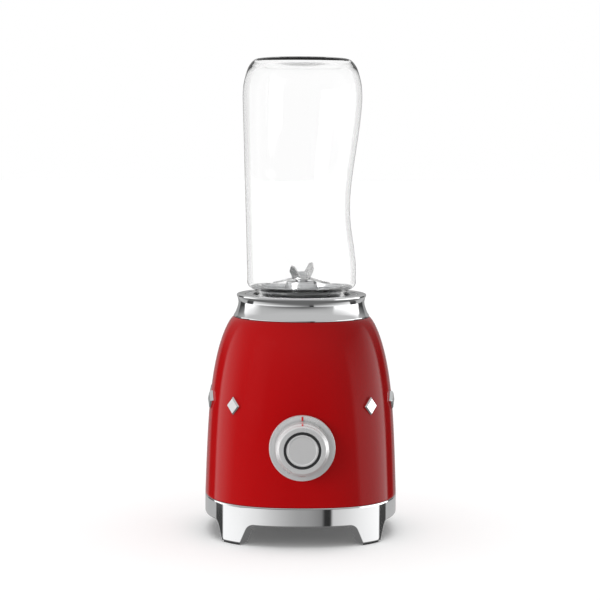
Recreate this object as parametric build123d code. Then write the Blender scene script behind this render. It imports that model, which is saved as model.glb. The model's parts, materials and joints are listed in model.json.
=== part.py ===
from build123d import *
import math
import os

# Countertop blender with an inverted bottle. Millimetres, +Z up, dial towards -Y.
# The origin is on the drive axis at the level that the feet stand on.

# ---- driving dimensions: housing ----
body_half = 66.2            # half the width of the square base
plan_power = 2.45           # squareness of the base plan: 2 is a circle
neck_power = 2.05           # squareness where the shell meets the collar
pad_height = 1.0
arch_height = 13.7          # underside of the skirt between the feet
skirt_top = 27.0            # the shell stands on the base ring here
shell_height = 121.4
shell_wall = 2.6
ring_wall = 3.5
foot_wall = 6.4
cover_thick = 2.5
# ---- driving dimensions: collar, well and bottle seat ----
well_r = 38.6               # bore of the well that takes the blade unit
liner_wall = 1.8
collar_height = 15.9
collar_spread = 6.4         # how far the collar's foot stands out from its bore
well_depth = 15.5           # well floor below the collar's foot
seat_gap = 0.3              # radial gap round each piece that turns in the well
lock_wall = 1.5
holder_wall = 2.9
# ---- driving dimensions: bottle ----
bottle_overhang = 2.4       # the bottle's radius beyond the well's
bottle_r = well_r + bottle_overhang
bottle_height = 161.4       # from the top of the blade unit to the bottle's flat end
bottle_wall = 2.3
bottle_base_wall = 3.0
grip_depth = 5.8            # depth of the grip waist on the +X side
thread_pitch = 4.0
thread_turns = 1.25
thread_height = 1.4
# ---- driving dimensions: drive train ----
shaft_r = 4.0
stator_half = 29.0
stator_height = 32.0
rotor_r = 15.2
blade_reach = 20.0
# ---- driving dimensions: dial ----
dial_z = 67.0
bezel_r = 21.9
knob_r = 18.4
knob_depth = 9.6
knob_rim = 7.9              # from the button's edge to the knob's
button_r = knob_r - knob_rim
button_travel = 1.5
# ---- clearances ----
run_gap = 0.05              # radial gap of a shaft that turns in a bore
part_gap = 0.4              # gap between pieces that move past each other
lock_turn = 30.0            # degrees from locked to unlocked
plunger_travel = 3.0

# ---- levels and radii that follow from them ----
shell_top = skirt_top + shell_height
collar_foot_r = well_r + liner_wall + collar_spread
collar_top = shell_top + collar_height
floor_top = shell_top - well_depth
floor_thick = 2.0
floor_low = floor_top - floor_thick
liner_r = well_r + liner_wall
flange_r = well_r - seat_gap
lock_r = well_r - seat_gap
lock_bore_r = lock_r - lock_wall
holder_r = lock_bore_r - part_gap
holder_bore_r = holder_r - holder_wall
neck_r = holder_bore_r - thread_height - 0.6
neck_bore_r = neck_r - bottle_wall
holder_top = collar_top - 0.5
holder_low = floor_top + 13.0
holder_floor = holder_low + 4.0
seal_thick = 2.0
bottle_mouth = holder_floor + seal_thick
bottle_top = holder_top + bottle_height
driver_low = floor_top + 1.0
dog_low = driver_low + 3.5
dog_high = dog_low + 4.0
bearing_r = shaft_r + 7.0
bearing_height = 7.0
cup_wall = 2.0
lower_cup_low = pad_height + 18.0
lower_bar_top = lower_cup_low + 11.0
fan_low = lower_bar_top + 1.5
comm_low = fan_low + 10.5
brush_z = comm_low + 5.0
stack_low = comm_low + 20.0
stack_top = stack_low + stator_height
upper_bar_low = stack_top + 10.0
upper_bar_top = upper_bar_low + 4.0
comm_r = shaft_r + 4.0
leg_in = stator_half - 5.5
bar_half = 13.0
mount_x = leg_in - 1.8
dial_face = -1.4            # the bezel's face lies this far in front of the shell
LOW = (Align.CENTER, Align.CENTER, Align.MIN)


# ---- small helpers ----
def disc(r, low, high, x=0.0, y=0.0):
    """Solid cylinder along Z between two levels."""
    return Pos(x, y, low) * Cylinder(r, high - low, align=LOW)


def ring(r_out, r_in, low, high, x=0.0, y=0.0):
    """Tube along Z between two levels."""
    return disc(r_out, low, high, x, y) - disc(r_in, low - 1, high + 1, x, y)


def block(x0, x1, y0, y1, z0, z1):
    """Box between two corners."""
    centre = Pos((x0 + x1) / 2, (y0 + y1) / 2, (z0 + z1) / 2)
    return centre * Box(x1 - x0, y1 - y0, z1 - z0)


def turned(points):
    """Solid of revolution about Z from a closed outline of (radius, level) points."""
    return revolve(Plane.XZ * make_face(Polyline(*points, close=True)), Axis.Z)


def facing(solid, depth_zero):
    """Turn a piece made along +Z to face the front, its level 0 at y = depth_zero."""
    return Pos(0, depth_zero, dial_z) * Rot(90, 0, 0) * solid


def spun(solid, count, start=0.0):
    """Copies of one solid spread evenly about Z."""
    return [Rot(0, 0, start + 360.0 * i / count) * solid for i in range(count)]


def joined(solids):
    """Fuse a list of solids."""
    return solids[0] + solids[1:] if len(solids) > 1 else solids[0]


def group(solids):
    """Separate solids kept in one node."""
    return Compound(children=[s for piece in solids for s in piece.solids()])


def plan_radius(angle, half, power):
    """Radius at an angle of the rounded square |x|^p + |y|^p = half^p."""
    c, s = abs(math.cos(angle)), abs(math.sin(angle))
    return half / (c ** power + s ** power) ** (1 / power)


def plan_face(half, power, level):
    """Rounded-square face at a level."""
    angles = [2 * math.pi * i / 24 for i in range(24)]
    radii = [plan_radius(a, half, power) for a in angles]
    points = [(r * math.cos(a), r * math.sin(a)) for r, a in zip(radii, angles)]
    return Pos(0, 0, level) * make_face(Spline(*points, periodic=True))


def plan_block(half, low, high):
    """Upright block with the base's plan."""
    return extrude(plan_face(half, plan_power, low), high - low)


def shell_half(t):
    """Half-width of the shell from its foot (t = 0) to its top (t = 1)."""
    rise = (1 - 0.22 * t) * (1 - t ** 4) ** 0.73
    return collar_foot_r + (body_half - collar_foot_r) * rise


def shell_power(t):
    """Squareness of the shell's plan, which becomes round towards the collar."""
    return plan_power + (neck_power - plan_power) * t


def shell_form(inset, drop):
    """The dome as a solid, moved in by inset and lowered at its top by drop."""
    stations = (0, 0.08, 0.2, 0.4, 0.6, 0.75, 0.86, 0.94, 0.985, 1)
    height = shell_height - drop
    faces = [plan_face(shell_half(t) - inset, shell_power(t), skirt_top + height * t) for t in stations]
    return loft(faces)


def front_y(level):
    """Where the shell's front centre line is at a level."""
    return -shell_half((level - skirt_top) / shell_height)


def coil(mean_r, wire_r, length, turns):
    """Open helical spring along +Z, starting at level 0, with its wire inside that length."""
    path = Pos(0, 0, wire_r) * Helix((length - 2 * wire_r) / turns, length - 2 * wire_r, mean_r)
    section = Plane(origin=path @ 0, z_dir=path % 0) * Circle(wire_r)
    return sweep(section, path=path, is_frenet=True)


def thread_ridge(root_r, crest_r, low):
    """One helical ridge that stands from root_r towards crest_r."""
    side = 1 if crest_r > root_r else -1
    height = abs(crest_r - root_r)
    path = Pos(0, 0, low) * Helix(thread_pitch, thread_pitch * thread_turns, root_r)
    plane = Plane(origin=path @ 0, x_dir=(1, 0, 0), z_dir=path % 0)
    root, crest, sunk = thread_pitch * 0.2, thread_pitch * 0.11, 0.4
    points = [(-side * sunk, -root), (side * height, -crest), (side * height, crest), (-side * sunk, root)]
    return sweep(plane * make_face(Polyline(*points, close=True)), path=path, is_frenet=True)


shell_outer = shell_form(0, 0)
dial_plane = front_y(dial_z) + dial_face


# ---- housing ----
post_at = body_half * 0.55
liner_flange_r = collar_foot_r - shell_wall - 0.3
shell_under = shell_top - shell_wall


def corner_spots(distance):
    return [(sx * distance, sy * distance) for sx in (-1, 1) for sy in (-1, 1)]


screw_r = 1.5
small_screw_r = 1.0
small_head_r = 1.75
collar_screw_r = liner_r + small_head_r + 0.1


def collar_screw_spots():
    """Four screws on the diagonals, under the collar."""
    place = collar_screw_r * math.sqrt(0.5)
    return corner_spots(place)


gland_z = skirt_top + 14.0
gland_bore_r = 3.6
gland_body_r = 5.6


def make_body_shell():
    shell = shell_outer - shell_form(shell_wall, shell_wall)
    shell -= disc(liner_r + part_gap, shell_under - 2, shell_top + 1)
    reach = body_half * 1.2
    for sx, sy in corner_spots(1):
        post = disc(5, cover_top, skirt_top + 16, sx * post_at, sy * post_at)
        rib = Pos(sx * post_at, sy * post_at, 0) * Rot(0, 0, 45 * sy * sx + (0 if sx > 0 else 180))
        rib *= block(3, reach, -1.5, 1.5, skirt_top + 0.7, skirt_top + 16)
        shell += (post + rib) & (shell_outer + disc(body_half, 0, skirt_top + 1))
        shell -= disc(screw_r - 0.2, cover_top - 1, cover_top + 12, sx * post_at, sy * post_at)
    for x, y in collar_screw_spots():
        shell -= disc(small_screw_r + 0.2, shell_under - 2, shell_top + 1, x, y)
    shell -= facing(disc(bezel_r - 1.5, -12, 12), dial_plane)
    wall_y = body_half - 5
    bore = Pos(0, wall_y, gland_z) * Rot(-90, 0, 0) * Cylinder(gland_body_r, 20)
    return shell - bore


def make_collar_ring():
    """Polished collar with a hollow waist, and a lip that covers the liner's edge."""
    foot, waist, top = collar_foot_r, collar_foot_r - 3.2, collar_foot_r - 2.1
    low, high = shell_top, collar_top
    outline = Line((liner_r, low), (foot - 0.3, low))
    outline += Line((foot - 0.3, low), (foot, low + 0.5))
    outline += Spline((foot, low + 0.5), (waist, low + 0.57 * collar_height), (top, high - 1.3))
    outline += ThreePointArc((top, high - 1.3), (top - 0.3, high - 0.35), (top - 1.2, high))
    outline += Line((top - 1.2, high), (well_r + 0.6, high))
    outline += ThreePointArc((well_r + 0.6, high), (well_r + 0.2, high - 0.2), (well_r, high - 0.6))
    outline += Polyline((well_r, high - 0.6), (well_r, high - 1.2), (liner_r, high - 1.2), (liner_r, low))
    collar = revolve(Plane.XZ * make_face(outline), Axis.Z)
    for x, y in collar_screw_spots():
        collar -= disc(small_screw_r, low - 1, low + 6, x, y)
    return collar


plunger_angle = 60.0
plunger_at = well_r - 1.4
plunger_x = plunger_at * math.cos(math.radians(plunger_angle))
plunger_y = plunger_at * math.sin(math.radians(plunger_angle))
plunger_r = 1.2
mount_r = 5.0
mount_height = 6.0


def make_well_liner():
    """Plastic cup in the top of the housing. Posts under it carry the motor."""
    cup = disc(liner_r, floor_low, collar_top - 1.2) - disc(well_r, floor_top, collar_top)
    cup += ring(liner_flange_r, liner_r - 1, shell_under - 2.7, shell_under)
    for x, y in collar_screw_spots():
        cup -= disc(small_screw_r + 0.2, shell_under - 4, shell_under + 1, x, y)
    cup += ring(shaft_r + 4, shaft_r + 1.0, floor_low - 3, floor_top + 0.8)
    cup -= disc(shaft_r + 1.0, floor_low - 4, floor_top + 2)
    for side in (-1, 1):
        cup += disc(mount_r - 1, upper_bar_top + mount_height, floor_low + 0.5, side * mount_x)
    return cup - disc(plunger_r + run_gap, floor_low - 1, floor_top + 1, plunger_x, plunger_y)


def arch_tool(bottom_half, top_half, grow=0.0):
    """Prism along Y that cuts the arch between two feet."""
    low, high = -1.0, arch_height
    outline = Polyline((-bottom_half - grow, low), (bottom_half + grow, low),
                       (top_half + grow, high), (-top_half - grow, high), close=True)
    face = make_face(outline)
    top_corners = face.vertices().sort_by(Axis.Y)[-2:]
    face = fillet(top_corners, radius=arch_height * 0.42)
    return extrude(Plane.XZ * face, body_half + 5, both=True)


front_arch = (body_half * 0.62, body_half * 0.535)
side_arch = (body_half * 0.69, body_half * 0.62)
foot_in = body_half - foot_wall
cover_low = arch_height + 0.6
cover_top = cover_low + cover_thick
ledge_depth = 3.2


def make_base_ring():
    """Polished ring: a skirt on four corner feet, with arches between them."""
    form = plan_block(body_half, pad_height, skirt_top)
    form -= plan_block(body_half - ring_wall, cover_top + 2.0, skirt_top + 1)
    form -= plan_block(foot_in, 0, cover_top)
    form -= plan_block(foot_in - ledge_depth, cover_top - 1, cover_top + 3)
    form -= arch_tool(*front_arch)
    form -= Rot(0, 0, 90) * arch_tool(*side_arch)
    return form


def make_foot_pads():
    """Rubber pads under the four feet."""
    pads = plan_block(body_half - 0.9, 0, pad_height) - plan_block(foot_in + 0.9, -1, pad_height + 1)
    pads -= arch_tool(*front_arch, grow=0.8)
    return pads - Rot(0, 0, 90) * arch_tool(*side_arch, grow=0.8)


lower_mount_low = cover_top + 4.5


def make_bottom_cover():
    """Plastic underside with air slots, screw holes and two posts for the motor."""
    cover = plan_block(foot_in - 0.3, cover_low, cover_top)
    for x, y in corner_spots(post_at):
        cover -= disc(screw_r + 0.2, cover_low - 1, cover_top + 1, x, y)
    for i in range(-4, 5):
        length = body_half * (0.42 if i % 2 else 0.34)
        slot = block(-length / 2, length / 2, i * 5.0 - 1.2, i * 5.0 + 1.2, cover_low - 1, cover_top + 1)
        if i not in (-1, 0, 1):
            cover -= slot
    for side in (-1, 1):
        cover += disc(mount_r - 1, cover_top - 0.5, lower_mount_low, side * mount_x)
    return cover


def make_screw(low, head_r, head_height, length, thread_r):
    """Pan-head screw whose head is at the bottom, with a cross recess."""
    head = disc(head_r, low, low + head_height)
    head = chamfer(head.edges().sort_by(Axis.Z)[0], head_height * 0.35)
    head += disc(thread_r, low + head_height - 0.1, low + head_height + length)
    for turn in (0, 90):
        head -= Rot(0, 0, turn) * block(-head_r * 0.6, head_r * 0.6, -0.35, 0.35, low - 1, low + 0.8)
    return head


def make_bottom_screws():
    screw = make_screw(cover_low - 2.2, 3.4, 2.2, cover_thick + 10, screw_r - 0.2)
    return group([Pos(x, y, 0) * screw for x, y in corner_spots(post_at)])


def make_collar_screws():
    screw = make_screw(shell_under - 2.7 - 2.0, small_head_r, 2.0, 2.7 + shell_wall + 5, small_screw_r)
    return group([Pos(x, y, 0) * screw for x, y in collar_screw_spots()])


stud_half_height = 6.3
stud_half_width = 5.8
stud_proud = 2.0
stud_z = skirt_top + shell_height * 0.54


def make_stud(y_share):
    """One lozenge stud on the +X side, sunk in the shell. y_share runs from -1 to 1."""
    t = (stud_z - skirt_top) / shell_height
    half, power = shell_half(t), shell_power(t)
    y = y_share * half
    x = (half ** power - abs(y) ** power) ** (1 / power)
    normal = math.degrees(math.atan2(math.copysign(abs(y) ** (power - 1), y), x ** (power - 1)))
    outline = Polyline((-stud_half_width, 0), (0, -stud_half_height), (stud_half_width, 0),
                       (0, stud_half_height), close=True)
    stud = extrude(make_face(outline), 4 + stud_proud)
    stud = chamfer(stud.faces().sort_by(Axis.Z)[-1].edges(), 0.8)
    stud = Plane(origin=(-4, 0, 0), x_dir=(0, 1, 0), z_dir=(1, 0, 0)) * stud
    return Pos(x, y, stud_z) * Rot(0, 0, normal) * stud


def make_side_studs():
    rows = [make_stud(share) for share in (-0.745, -0.28, 0.28, 0.745)]
    both = rows + [Rot(0, 0, 180) * stud for stud in rows]
    return group([stud - shell_outer for stud in both])


def make_cord_gland():
    """Inlet for the mains lead, low on the back."""
    back = -front_y(gland_z)
    body = disc(gland_body_r, -shell_wall - 3, 1)
    flange = fillet(disc(gland_body_r + 2.4, -3, 2.2).edges().sort_by(Axis.Z)[-1], 1.2)
    nut = disc(gland_body_r + 2.4, -shell_wall - 5.5, -shell_wall - 1.6)
    place = Pos(0, back, gland_z) * Rot(-90, 0, 0)
    grip = place * (body + nut)
    inner_form = shell_form(shell_wall, shell_wall)
    gland = (grip & (inner_form + place * disc(gland_body_r, -shell_wall - 6, 3)))
    gland += place * flange - shell_outer
    gland += place * body
    return gland - place * disc(gland_bore_r, -20, 20)


# ---- dial ----
stem_r = 5.0
knob_back = 0.4             # gap between the knob and the bezel's face
pocket_floor = knob_depth - 5.6
light_out = button_r + 1.9
light_in = button_r + 0.35
spring_free = 2.6
dial_shaft_r = 3.0
hub_low = -9.0
button_low = pocket_floor + spring_free


def make_dial_bezel():
    """Ring round the dial, seated on the shell, with a sleeve through the wall."""
    flange = disc(bezel_r, -8, 0)
    flange = fillet(flange.edges().sort_by(Axis.Z)[-1], 0.8)
    flange = facing(flange, dial_plane) - shell_outer
    sleeve = facing(disc(bezel_r - 1.6, -9, -1), dial_plane)
    bezel = flange + sleeve
    bezel -= facing(ring(bezel_r - 2.3, bezel_r - 2.7, -0.35, 1), dial_plane)
    bezel -= facing(disc(stem_r + part_gap, -12, 1), dial_plane)
    return bezel - bezel_mark_form()


def bezel_mark_form():
    """Short bar let into the bezel at twelve o'clock."""
    middle = (bezel_r - 1.2 + knob_r + 0.4) / 2
    return facing(block(-0.6, 0.6, middle - 1.3, middle + 1.3, -0.6, 0.15), dial_plane)


def make_dial_knob():
    """Knob with a pocket for the light ring and the push button."""
    top = knob_depth
    outline = Polyline((stem_r, hub_low), (stem_r, knob_back), (knob_r, knob_back),
                       (knob_r - 0.9, top - 3.0), (knob_r - 1.0, top - 2.4))
    outline += Line((knob_r - 1.0, top - 2.4), (knob_r - 2.1, top - 2.0))
    outline += Line((knob_r - 2.1, top - 2.0), (knob_r - 2.3, top - 0.9))
    outline += ThreePointArc((knob_r - 2.3, top - 0.9), (knob_r - 2.6, top - 0.25), (knob_r - 3.3, top))
    outline += Polyline((knob_r - 3.3, top), (light_out, top), (light_out, pocket_floor),
                        (dial_shaft_r, pocket_floor), (dial_shaft_r, hub_low), (stem_r, hub_low))
    knob = revolve(Plane.XZ * make_face(outline), Axis.Z)
    return facing(knob, dial_plane) - knob_pointer_form()


def knob_pointer_form():
    """Small coloured dot let into the knob's shoulder."""
    at = knob_r - 1.55
    return facing(disc(0.55, knob_depth - 3.2, knob_depth - 1.8, 0, at), dial_plane)


def make_light_ring():
    ring_form = ring(light_out, light_in, pocket_floor, knob_depth - 0.6)
    return facing(ring_form, dial_plane)


def make_centre_button():
    """Push button with a raised edge and a spigot that guides it."""
    face = disc(button_r, button_low, knob_depth + 0.3)
    face = fillet(face.edges().sort_by(Axis.Z)[-1], 0.5)
    face -= disc(button_r - 1.0, knob_depth - 0.1, knob_depth + 1)
    spigot = disc(1.6, pocket_floor - 1.0, button_low + 0.5)
    return facing(face + spigot, dial_plane)


def make_button_spring():
    spring = coil(6.0, 0.3, spring_free - 0.1, 2.5)
    return facing(Pos(0, 0, pocket_floor + 0.05) * spring, dial_plane)


def make_dial_shaft():
    """Shaft of the rotary switch, fixed in the knob."""
    shaft = disc(dial_shaft_r, hub_low - 8, pocket_floor) - disc(1.9, pocket_floor - 4.5, pocket_floor + 1)
    return facing(shaft, dial_plane)


switch_high = hub_low - 1.0
switch_low = switch_high - 12.0


def make_rotary_switch():
    body = block(-11, 11, -11, 11, switch_low, switch_high)
    body = fillet(body.edges().filter_by(Axis.Z), 1.5)
    body += [block(x - 0.4, x + 0.4, -8, -7, switch_low - 3, switch_low) for x in (-5, 0, 5)]
    return facing(body - disc(dial_shaft_r + run_gap, switch_low + 4, switch_high + 1), dial_plane)


def make_control_board():
    """Circuit board behind the switch, with its larger components."""
    back = switch_low - 1.2
    board = block(-24, 24, -26, 26, back - 1.6, back)
    board += block(-18, -8, 14, 22, back - 8, back - 1.6)
    board += block(6, 18, 12, 23, back - 6, back - 1.6)
    board += disc(4, back - 8, back - 1.6, 12, -17)
    for x in (-5, 0, 5):
        board -= block(x - 0.6, x + 0.6, -8.2, -6.8, back - 2, back + 1)
    holes = [disc(1.6, back - 3, back + 1, x, y) for x in (-21, 21) for y in (-23, 23)]
    for hole in holes:
        board -= hole
    return facing(board, dial_plane)


# ---- motor ----
stack_gap = 0.4
tunnel_r = rotor_r + stack_gap
shoe_r = tunnel_r + 2.7
window_x = stator_half - 6.0
window_y = stator_half - 7.0
pole_half = 7.0
screw_x = (leg_in + stator_half) / 2
screw_y = 9.0


def motor_screw_spots():
    return [(sx * screw_x, sy * screw_y) for sx in (-1, 1) for sy in (-1, 1)]


def make_stator_core():
    """Laminated frame with two poles that face the rotor."""
    outer = block(-stator_half, stator_half, -stator_half, stator_half, stack_low, stack_top)
    outer = chamfer(outer.edges().filter_by(Axis.Z), 5)
    window = block(-window_x, window_x, -window_y, window_y, stack_low - 1, stack_top + 1)
    shoe = disc(shoe_r, stack_low, stack_top)
    shoe -= block(-10, 10, -30, 30, stack_low - 1, stack_top + 1)
    necks = block(-window_x - 1, window_x + 1, -pole_half, pole_half, stack_low, stack_top)
    core = outer - window + shoe + necks - disc(tunnel_r, stack_low - 1, stack_top + 1)
    for x, y in motor_screw_spots():
        core -= disc(screw_r, stack_low - 1, stack_top + 1, x, y)
    return core


def make_field_coils():
    """One coil round each pole."""
    grow = 6.0
    x0, x1 = shoe_r + 0.3, window_x - 0.3
    outer = block(x0, x1, -pole_half - grow, pole_half + grow, stack_low - grow, stack_top + grow)
    outer = fillet(outer.edges().filter_by(Axis.X), 4)
    inner = block(x0 - 1, x1 + 1, -pole_half - 0.3, pole_half + 0.3, stack_low - 0.3, stack_top + 0.3)
    coil_form = outer - inner
    return group([coil_form, Rot(0, 0, 180) * coil_form])


rotor_slots = 12
bar_in, bar_out = rotor_r - 5.2, rotor_r - 1.2


def slot_bars(half_width, low, high):
    return spun(block(bar_in, bar_out, -half_width, half_width, low, high), rotor_slots)


def make_armature_core():
    core = ring(rotor_r, shaft_r, stack_low, stack_top)
    core -= slot_bars(1.35, stack_low - 1, stack_top + 1)
    core -= spun(block(bar_out - 1, rotor_r + 1, -0.6, 0.6, stack_low - 1, stack_top + 1), rotor_slots)
    return core


def make_armature_winding():
    """Wire in the rotor's slots and the end turns above and below."""
    ends = [ring(bar_out, shaft_r + 1.5, level, level + 6.5) for level in (stack_low - 7, stack_top + 0.5)]
    ends = [fillet(end.edges().filter_by(GeomType.CIRCLE).group_by(SortBy.RADIUS)[-1], 2.5) for end in ends]
    winding = ends[0] + ends[1] + slot_bars(1.2, stack_low - 2, stack_top + 2)
    return winding


def make_commutator():
    drum = ring(comm_r, shaft_r, comm_low, comm_low + 11)
    drum += ring(comm_r + 1.2, shaft_r, comm_low + 10, comm_low + 12)
    drum -= spun(block(comm_r - 0.8, comm_r + 2, -0.2, 0.2, comm_low - 1, comm_low + 13), rotor_slots)
    return drum


shaft_low = lower_cup_low + 1.0
shaft_high = driver_low + 3.0


def make_motor_shaft():
    shaft = disc(shaft_r, shaft_low, shaft_high)
    return chamfer(shaft.edges().filter_by(GeomType.CIRCLE), 0.5)


def make_bearing(low):
    """Ball bearing drawn as one ring, with the groove between its races."""
    bearing = ring(bearing_r, shaft_r + run_gap, low, low + bearing_height)
    groove = ring(bearing_r - 2, shaft_r + 2, low - 1, low + 0.5)
    return bearing - groove - Pos(0, 0, bearing_height + 0.5) * groove


upper_bearing_low = upper_bar_top + 1.0
lower_bearing_low = lower_cup_low + 2.0


def make_upper_bearing():
    return make_bearing(upper_bearing_low)


def make_lower_bearing():
    return make_bearing(lower_bearing_low)


def make_bracket(bar_low, bar_top, cup_low, cup_high, leg_low, leg_high):
    """Bar across the motor with a bearing cup in the middle and a leg at each end."""
    bar = block(-stator_half, stator_half, -bar_half, bar_half, bar_low, bar_top)
    legs = [block(s * leg_in if s > 0 else -stator_half, stator_half if s > 0 else -leg_in,
                  -bar_half, bar_half, leg_low, leg_high) for s in (-1, 1)]
    return bar + legs + disc(bearing_r + cup_wall, cup_low, cup_high)


def make_upper_bracket():
    bracket = make_bracket(upper_bar_low, upper_bar_top, upper_bar_low,
                           upper_bearing_low + bearing_height, stack_top, upper_bar_top)
    bracket -= disc(bearing_r, upper_bearing_low, upper_bearing_low + 20)
    bracket -= disc(shaft_r + 2, upper_bar_low - 1, upper_bar_top + 20)
    for x, y in motor_screw_spots():
        bracket -= disc(screw_r, stack_top - 1, upper_bar_top + 1, x, y)
    return bracket


def make_lower_bracket():
    bracket = make_bracket(lower_bar_top - 3, lower_bar_top, lower_cup_low, lower_bar_top,
                           lower_bar_top - 3, stack_low)
    bracket -= disc(bearing_r, lower_bearing_low, lower_bearing_low + bearing_height)
    bracket -= disc(shaft_r + 2, lower_cup_low - 1, lower_bar_top + 1)
    for side in (-1, 1):
        window = block(-7.2, 7.2, -brush_half - 1.2, brush_half + 1.2, brush_z - brush_half - 1.2,
                       brush_z + brush_half + 1.2)
        bracket -= Pos(side * (leg_in + 2), 0, 0) * window
    for x, y in motor_screw_spots():
        bracket -= disc(screw_r - 0.2, stack_low - 8, stack_low + 1, x, y)
    return bracket


def make_motor_screws():
    """Long screws that clamp the brackets to the stator."""
    screw = make_screw(0, 2.4, 2.2, upper_bar_top - stack_low + 7, screw_r - 0.2)
    screw = Rot(180, 0, 0) * screw
    return group([Pos(x, y, upper_bar_top + 2.2) * screw for x, y in motor_screw_spots()])


def make_rubber_mounts():
    """Four bushes between the motor's brackets and the housing."""
    pairs = ((upper_bar_top, upper_bar_top + mount_height), (lower_mount_low, lower_bar_top - 3))
    bushes = []
    for low, high in pairs:
        bush = disc(mount_r, low, high)
        bush -= ring(mount_r + 1, mount_r - 0.9, (low + high) / 2 - 0.8, (low + high) / 2 + 0.8)
        bushes += [Pos(side * mount_x, 0, 0) * bush for side in (-1, 1)]
    return group(bushes)


brush_half = 2.5
holder_in = comm_r + 2.4
holder_out = stator_half + 4.0
brush_tip = comm_r + 0.35


def make_brush_holders():
    """Tubes that guide the brushes, held in the lower bracket's legs."""
    size = brush_half + 1.2
    tube = block(holder_in, holder_out, -size, size, brush_z - size, brush_z + size)
    inner = brush_half + run_gap
    tube -= block(holder_in - 1, holder_out - 1.5, -inner, inner, brush_z - inner, brush_z + inner)
    return group([tube, Rot(0, 0, 180) * tube])


brush_length = 10.0


def make_carbon_brushes():
    brush = block(brush_tip, brush_tip + brush_length, -brush_half, brush_half,
                  brush_z - brush_half, brush_z + brush_half)
    return group([brush, Rot(0, 0, 180) * brush])


def make_brush_springs():
    start = brush_tip + brush_length + 0.05
    length = holder_out - 1.5 - start - 0.05
    spring = Pos(start, 0, brush_z) * Rot(0, 90, 0) * coil(1.7, 0.3, length, 7)
    return group([spring, Rot(0, 0, 180) * spring])


def make_cooling_fan():
    """Radial fan on the shaft: a disc, a hub and nine blades."""
    fan_r = leg_in - 1.0
    fan = ring(fan_r, shaft_r, fan_low, fan_low + 1.4) + ring(shaft_r + 3, shaft_r, fan_low, fan_low + 9)
    fan += spun(block(shaft_r + 2, fan_r - 0.5, -0.6, 0.6, fan_low + 1, fan_low + 7.5), 9)
    return fan


# ---- drive coupling: three dogs on each half ----
dog_count = 3
dog_angle = 35.0
dog_in, dog_out = shaft_r + 1.8, shaft_r + 7.0
dog_rim = dog_out - 0.4
slack_behind = lock_turn + 8.0     # room for the driven half to turn with the blade unit


def wedge(r_in, r_out, centre, width, low, high):
    """Sector of a ring, centred on an angle in degrees."""
    outline = Polyline((r_in, low), (r_out, low), (r_out, high), (r_in, high), close=True)
    sector = revolve(Plane.XZ * make_face(outline), Axis.Z, revolution_arc=width)
    return Rot(0, 0, centre - width / 2) * sector


def make_drive_coupler():
    """Driving half on the motor shaft."""
    hub = ring(dog_out, shaft_r, driver_low, dog_low)
    cap = disc(shaft_r + 1.0, shaft_high, dog_low + 1.0)
    dogs = spun(wedge(dog_in, dog_rim, 0, dog_angle, dog_low - 0.5, dog_high), dog_count)
    return joined([hub, cap] + dogs)


driven_gap = 0.5
driven_low = dog_low + driven_gap
driven_plate = dog_high + driven_gap
driven_top = driven_plate + 3.5
driven_turn = -(dog_angle + slack_behind)
bush_low = driven_top + 0.4
drive_r = shaft_r - 1.0


def make_driven_coupler():
    """Driven half under the blade unit. Its dogs trail the driver's at rest."""
    hub = ring(dog_out, shaft_r, driven_plate, driven_top)
    dogs = spun(wedge(dog_in, dog_rim, driven_turn, dog_angle, driven_low, driven_plate + 0.5), dog_count)
    return joined([hub] + dogs)


# ---- lock ring and interlock ----
lock_low = floor_top + 7.0
lock_high = holder_top - 2.6
lug_height = 5.0
lug_low = lock_high - 8.5
lug_width = 16.0
cam_low = floor_top + 2.5
lug_out = lock_r - 0.1


def make_lock_ring():
    """Ring that turns with the blade unit. Open pockets take its lugs, a ramp works the plunger."""
    body = ring(lock_r, lock_bore_r, lock_low, lock_high)
    pocket = wedge(lock_bore_r - 1, lock_r + 1, 0, lug_width + 1.6, lug_low - part_gap, lock_high + 1)
    body -= spun(pocket, 3)
    middle = plunger_angle - lock_turn / 2
    cam = wedge(lock_bore_r, lock_r, middle, lock_turn + 14, cam_low, lock_low + 0.5)
    chord = 2 * plunger_at * math.sin(math.radians(lock_turn / 2))
    slope = math.degrees(math.atan(plunger_travel / chord))
    under = Rot(-slope, 0, 0) * block(-20, 20, -60, 60, -30, 0)
    under = Pos(plunger_at, 0, cam_low + plunger_travel / 2) * under
    return body + (cam - Rot(0, 0, middle) * under)


plunger_top = cam_low - 0.6
collar_high = floor_low - plunger_travel - 1.2
collar_low = collar_high - 2.0
bracket_top = collar_low - 6.5
bracket_thick = 1.4
stem_low = bracket_top - bracket_thick - 0.6


def make_lock_plunger():
    """Pin that the ramp holds down while the blade unit is locked."""
    pin = disc(plunger_r, stem_low, plunger_top) + disc(plunger_r + 1.6, collar_low, collar_high)
    pin = chamfer(pin.edges().sort_by(Axis.Z)[-1], 0.3)
    return Pos(plunger_x, plunger_y, 0) * pin


def make_plunger_spring():
    spring = coil(plunger_r + 0.9, 0.25, collar_low - bracket_top - 0.1, 5)
    return Pos(plunger_x, plunger_y, bracket_top + 0.05) * spring


def make_switch_bracket():
    """Bent bracket under the well floor that guides the plunger and holds the switch."""
    plate = block(-6, 6, -9, 9, bracket_top - bracket_thick, bracket_top)
    legs = [block(-6, 6, s * 9 - 0.7, s * 9 + 0.7, bracket_top - bracket_thick, floor_low) for s in (-1, 1)]
    form = joined([plate] + legs) - disc(plunger_r + run_gap, 0, 200)
    return Pos(plunger_x, plunger_y, 0) * Rot(0, 0, plunger_angle) * form


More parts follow.
